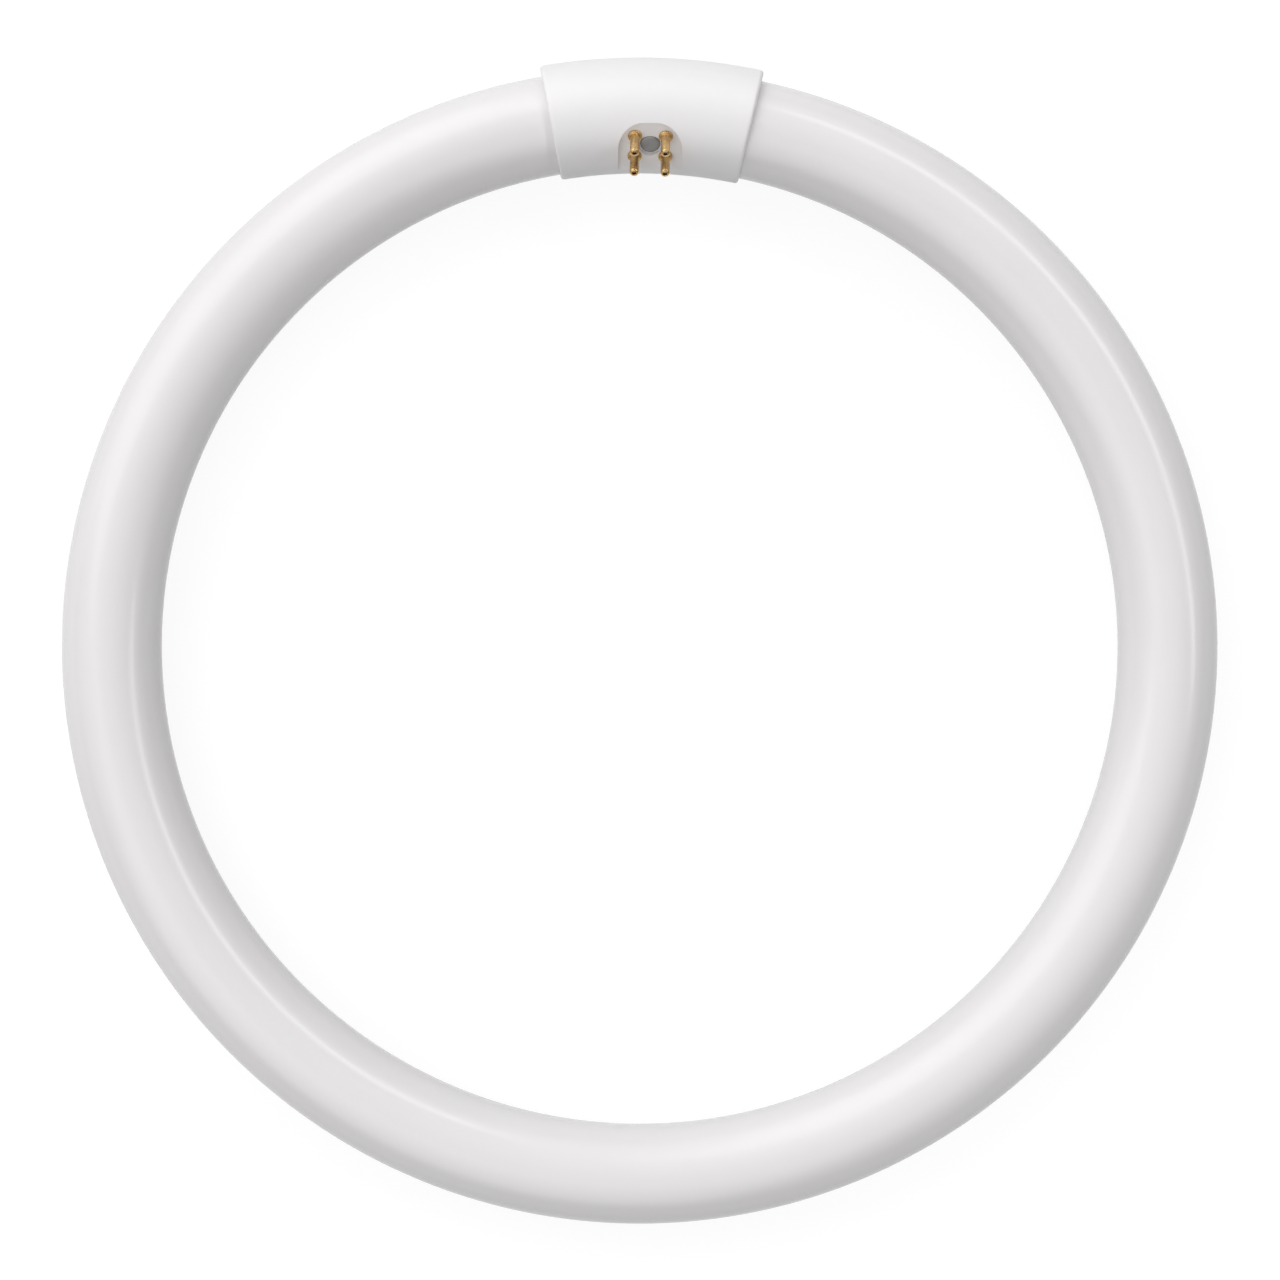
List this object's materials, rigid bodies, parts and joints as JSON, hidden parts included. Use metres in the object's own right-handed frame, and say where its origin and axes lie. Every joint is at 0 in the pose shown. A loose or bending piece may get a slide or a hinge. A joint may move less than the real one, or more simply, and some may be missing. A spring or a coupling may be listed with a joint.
{
  "type": "circular fluorescent tube",
  "caption": "Ring of white coated glass tube whose ends meet in a moulded plastic cap, with brass contact pins standing in a window at an angle to the ring.",
  "frame": {"origin": "centre of the ring, in the plane of the tube's centreline", "axes": "+Z is the ring's axis, on the side that the pins point to; +Y runs from the centre to the cap"},
  "size_m": [0.3, 0.3026, 0.0322],
  "materials": {
    "coated_glass": "gloss",
    "cap_plastic": "satin",
    "pin_brass": "satin",
    "rivet_steel": "dull",
    "lead_metal": "satin"
  },
  "bodies": {
    "root": {"glass_tube": "coated_glass", "cap_front": "cap_plastic", "cap_back": "cap_plastic", "cap_rivet": "rivet_steel", "contact_pin_1": "pin_brass", "lead_wire_1": "lead_metal", "contact_pin_2": "pin_brass", "lead_wire_2": "lead_metal", "contact_pin_3": "pin_brass", "lead_wire_3": "lead_metal", "contact_pin_4": "pin_brass", "lead_wire_4": "lead_metal"}
  },
  "joints": []
}
